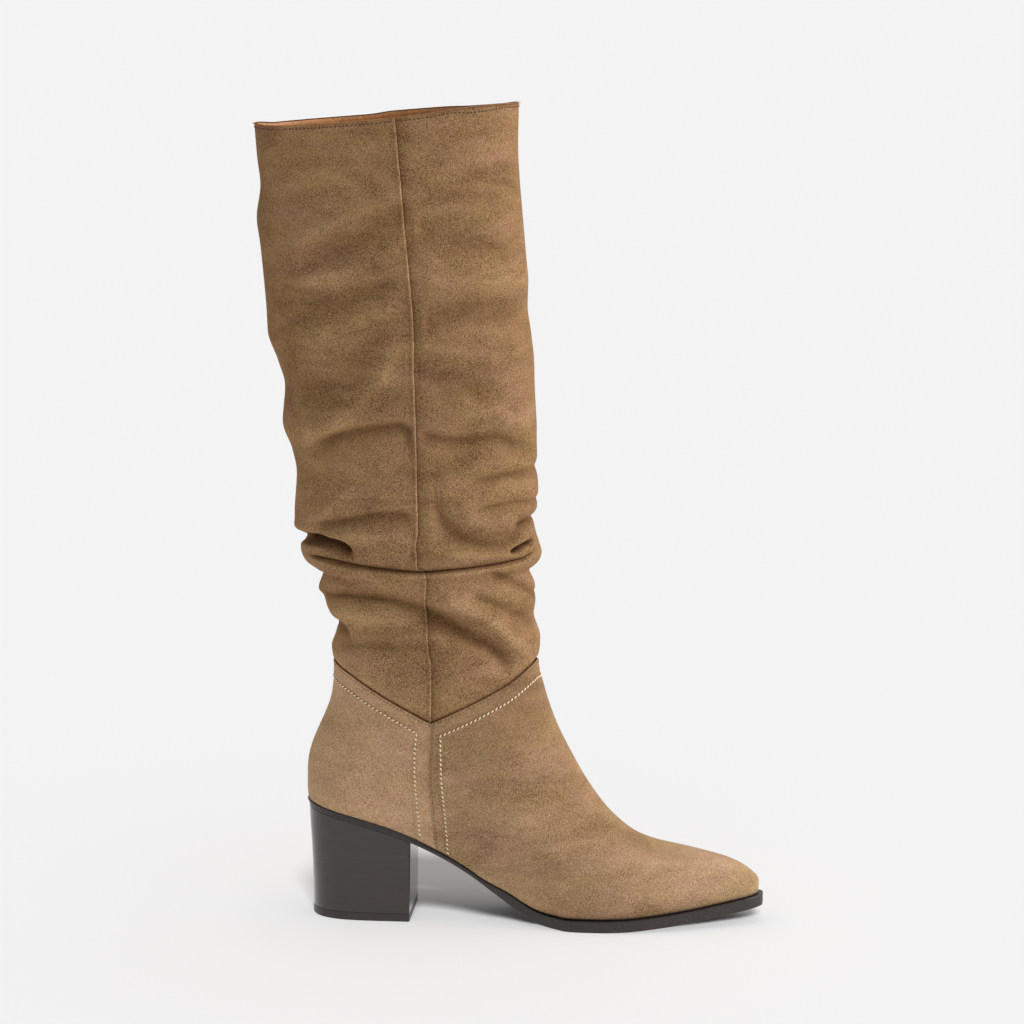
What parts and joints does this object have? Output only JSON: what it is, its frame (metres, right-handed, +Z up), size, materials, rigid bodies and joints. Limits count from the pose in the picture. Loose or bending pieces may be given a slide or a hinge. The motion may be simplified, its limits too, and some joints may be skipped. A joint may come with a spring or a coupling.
{
  "type": "slouch boot",
  "caption": "Knee-high suede slouch boot for the right foot, pointed toe, block heel, soft folds above the ankle, open collar.",
  "frame": {"origin": "on the floor, at the centre of the heel's tread", "axes": "+X towards the toe, +Y towards the inner side of the foot, +Z up the shaft"},
  "size_m": [0.2903, 0.0874, 0.4616],
  "materials": {
    "suede": "brushed tan suede",
    "leg_suede": "brushed suede, darker and softer, over a thin lining",
    "lining_leather": "smooth tan lining leather",
    "sole_leather": "dark brown, waxed edge",
    "stacked_heel": "stacked, dark brown, polished",
    "tip_rubber": "matt"
  },
  "bodies": {
    "root": {"upper": "suede", "shaft": "leg_suede", "insole": "lining_leather", "outsole": "sole_leather", "heel": "stacked_heel", "heel_tip": "tip_rubber"}
  },
  "joints": []
}
